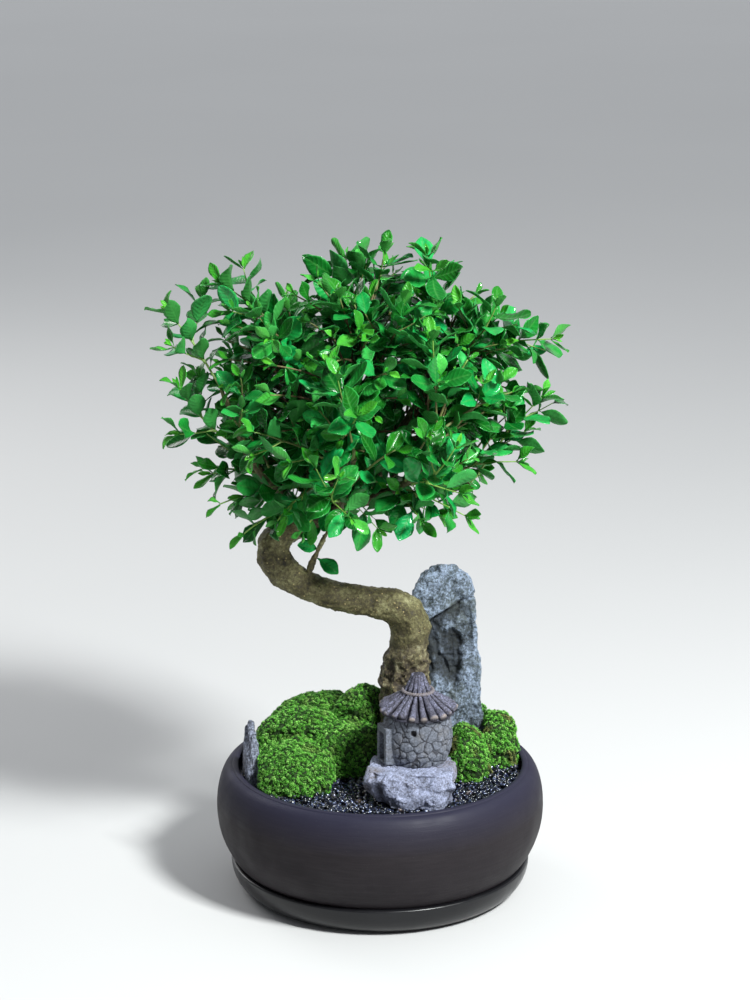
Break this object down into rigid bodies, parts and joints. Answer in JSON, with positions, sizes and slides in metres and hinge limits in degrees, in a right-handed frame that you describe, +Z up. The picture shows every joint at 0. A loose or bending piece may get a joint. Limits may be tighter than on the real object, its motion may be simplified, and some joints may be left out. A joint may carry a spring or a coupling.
{
  "type": "potted bonsai tree",
  "caption": "Small-leaf privet bonsai with a curved trunk in a round clay pot on a saucer, dressed with moss, black gravel, stones and a small stone hut.",
  "frame": {"origin": "centre of the saucer's underside, on the surface it stands on", "axes": "+Z up along the pot's axis; -Y is the front of the planting, where the hut stands; +X to its right"},
  "size_m": [0.2742, 0.22, 0.4444],
  "materials": {
    "clay": "unglazed dark brown-grey clay, satin",
    "saucer_glaze": "dark, thinly glazed",
    "screen_plastic": "dark green moulded mesh",
    "soil": "damp potting soil",
    "black_gravel": "glossy black angular grit",
    "moss": "live cushion moss, bright green",
    "grey_stone": "rough blue-grey rock",
    "hut_stone": "cast grey stone, cobbled",
    "hut_thatch": "cast stone, painted purple-brown",
    "bark": "olive-tan bark, rough near the root",
    "foliage": "glossy green leaves on thin green twigs"
  },
  "bodies": {
    "root": {"base_stone": "grey_stone", "drain_screen": "screen_plastic", "gravel": "black_gravel", "hut_roof": "hut_thatch", "hut_walls": "hut_stone", "moss_back": "moss", "moss_back_left": "moss", "moss_back_right": "moss", "moss_by_trunk": "moss", "moss_front_left": "moss", "moss_left": "moss", "moss_middle": "moss", "moss_right": "moss", "moss_right_front": "moss", "pot": "clay", "rim_stone": "grey_stone", "saucer": "saucer_glaze", "soil": "soil", "spray_01": "foliage", "spray_02": "foliage", "spray_03": "foliage", "spray_04": "foliage", "spray_05": "foliage", "spray_06": "foliage", "spray_07": "foliage", "spray_08": "foliage", "spray_09": "foliage", "spray_10": "foliage", "spray_11": "foliage", "spray_12": "foliage", "spray_13": "foliage", "spray_14": "foliage", "spray_15": "foliage", "spray_16": "foliage", "spray_17": "foliage", "spray_18": "foliage", "spray_19": "foliage", "spray_20": "foliage", "spray_21": "foliage", "spray_22": "foliage", "spray_23": "foliage", "spray_24": "foliage", "spray_25": "foliage", "spray_26": "foliage", "spray_27": "foliage", "spray_28": "foliage", "spray_29": "foliage", "spray_30": "foliage", "spray_31": "foliage", "spray_32": "foliage", "spray_33": "foliage", "spray_34": "foliage", "spray_35": "foliage", "spray_36": "foliage", "spray_37": "foliage", "spray_38": "foliage", "spray_39": "foliage", "spray_40": "foliage", "standing_stone": "grey_stone", "trunk": "bark"}
  },
  "joints": []
}
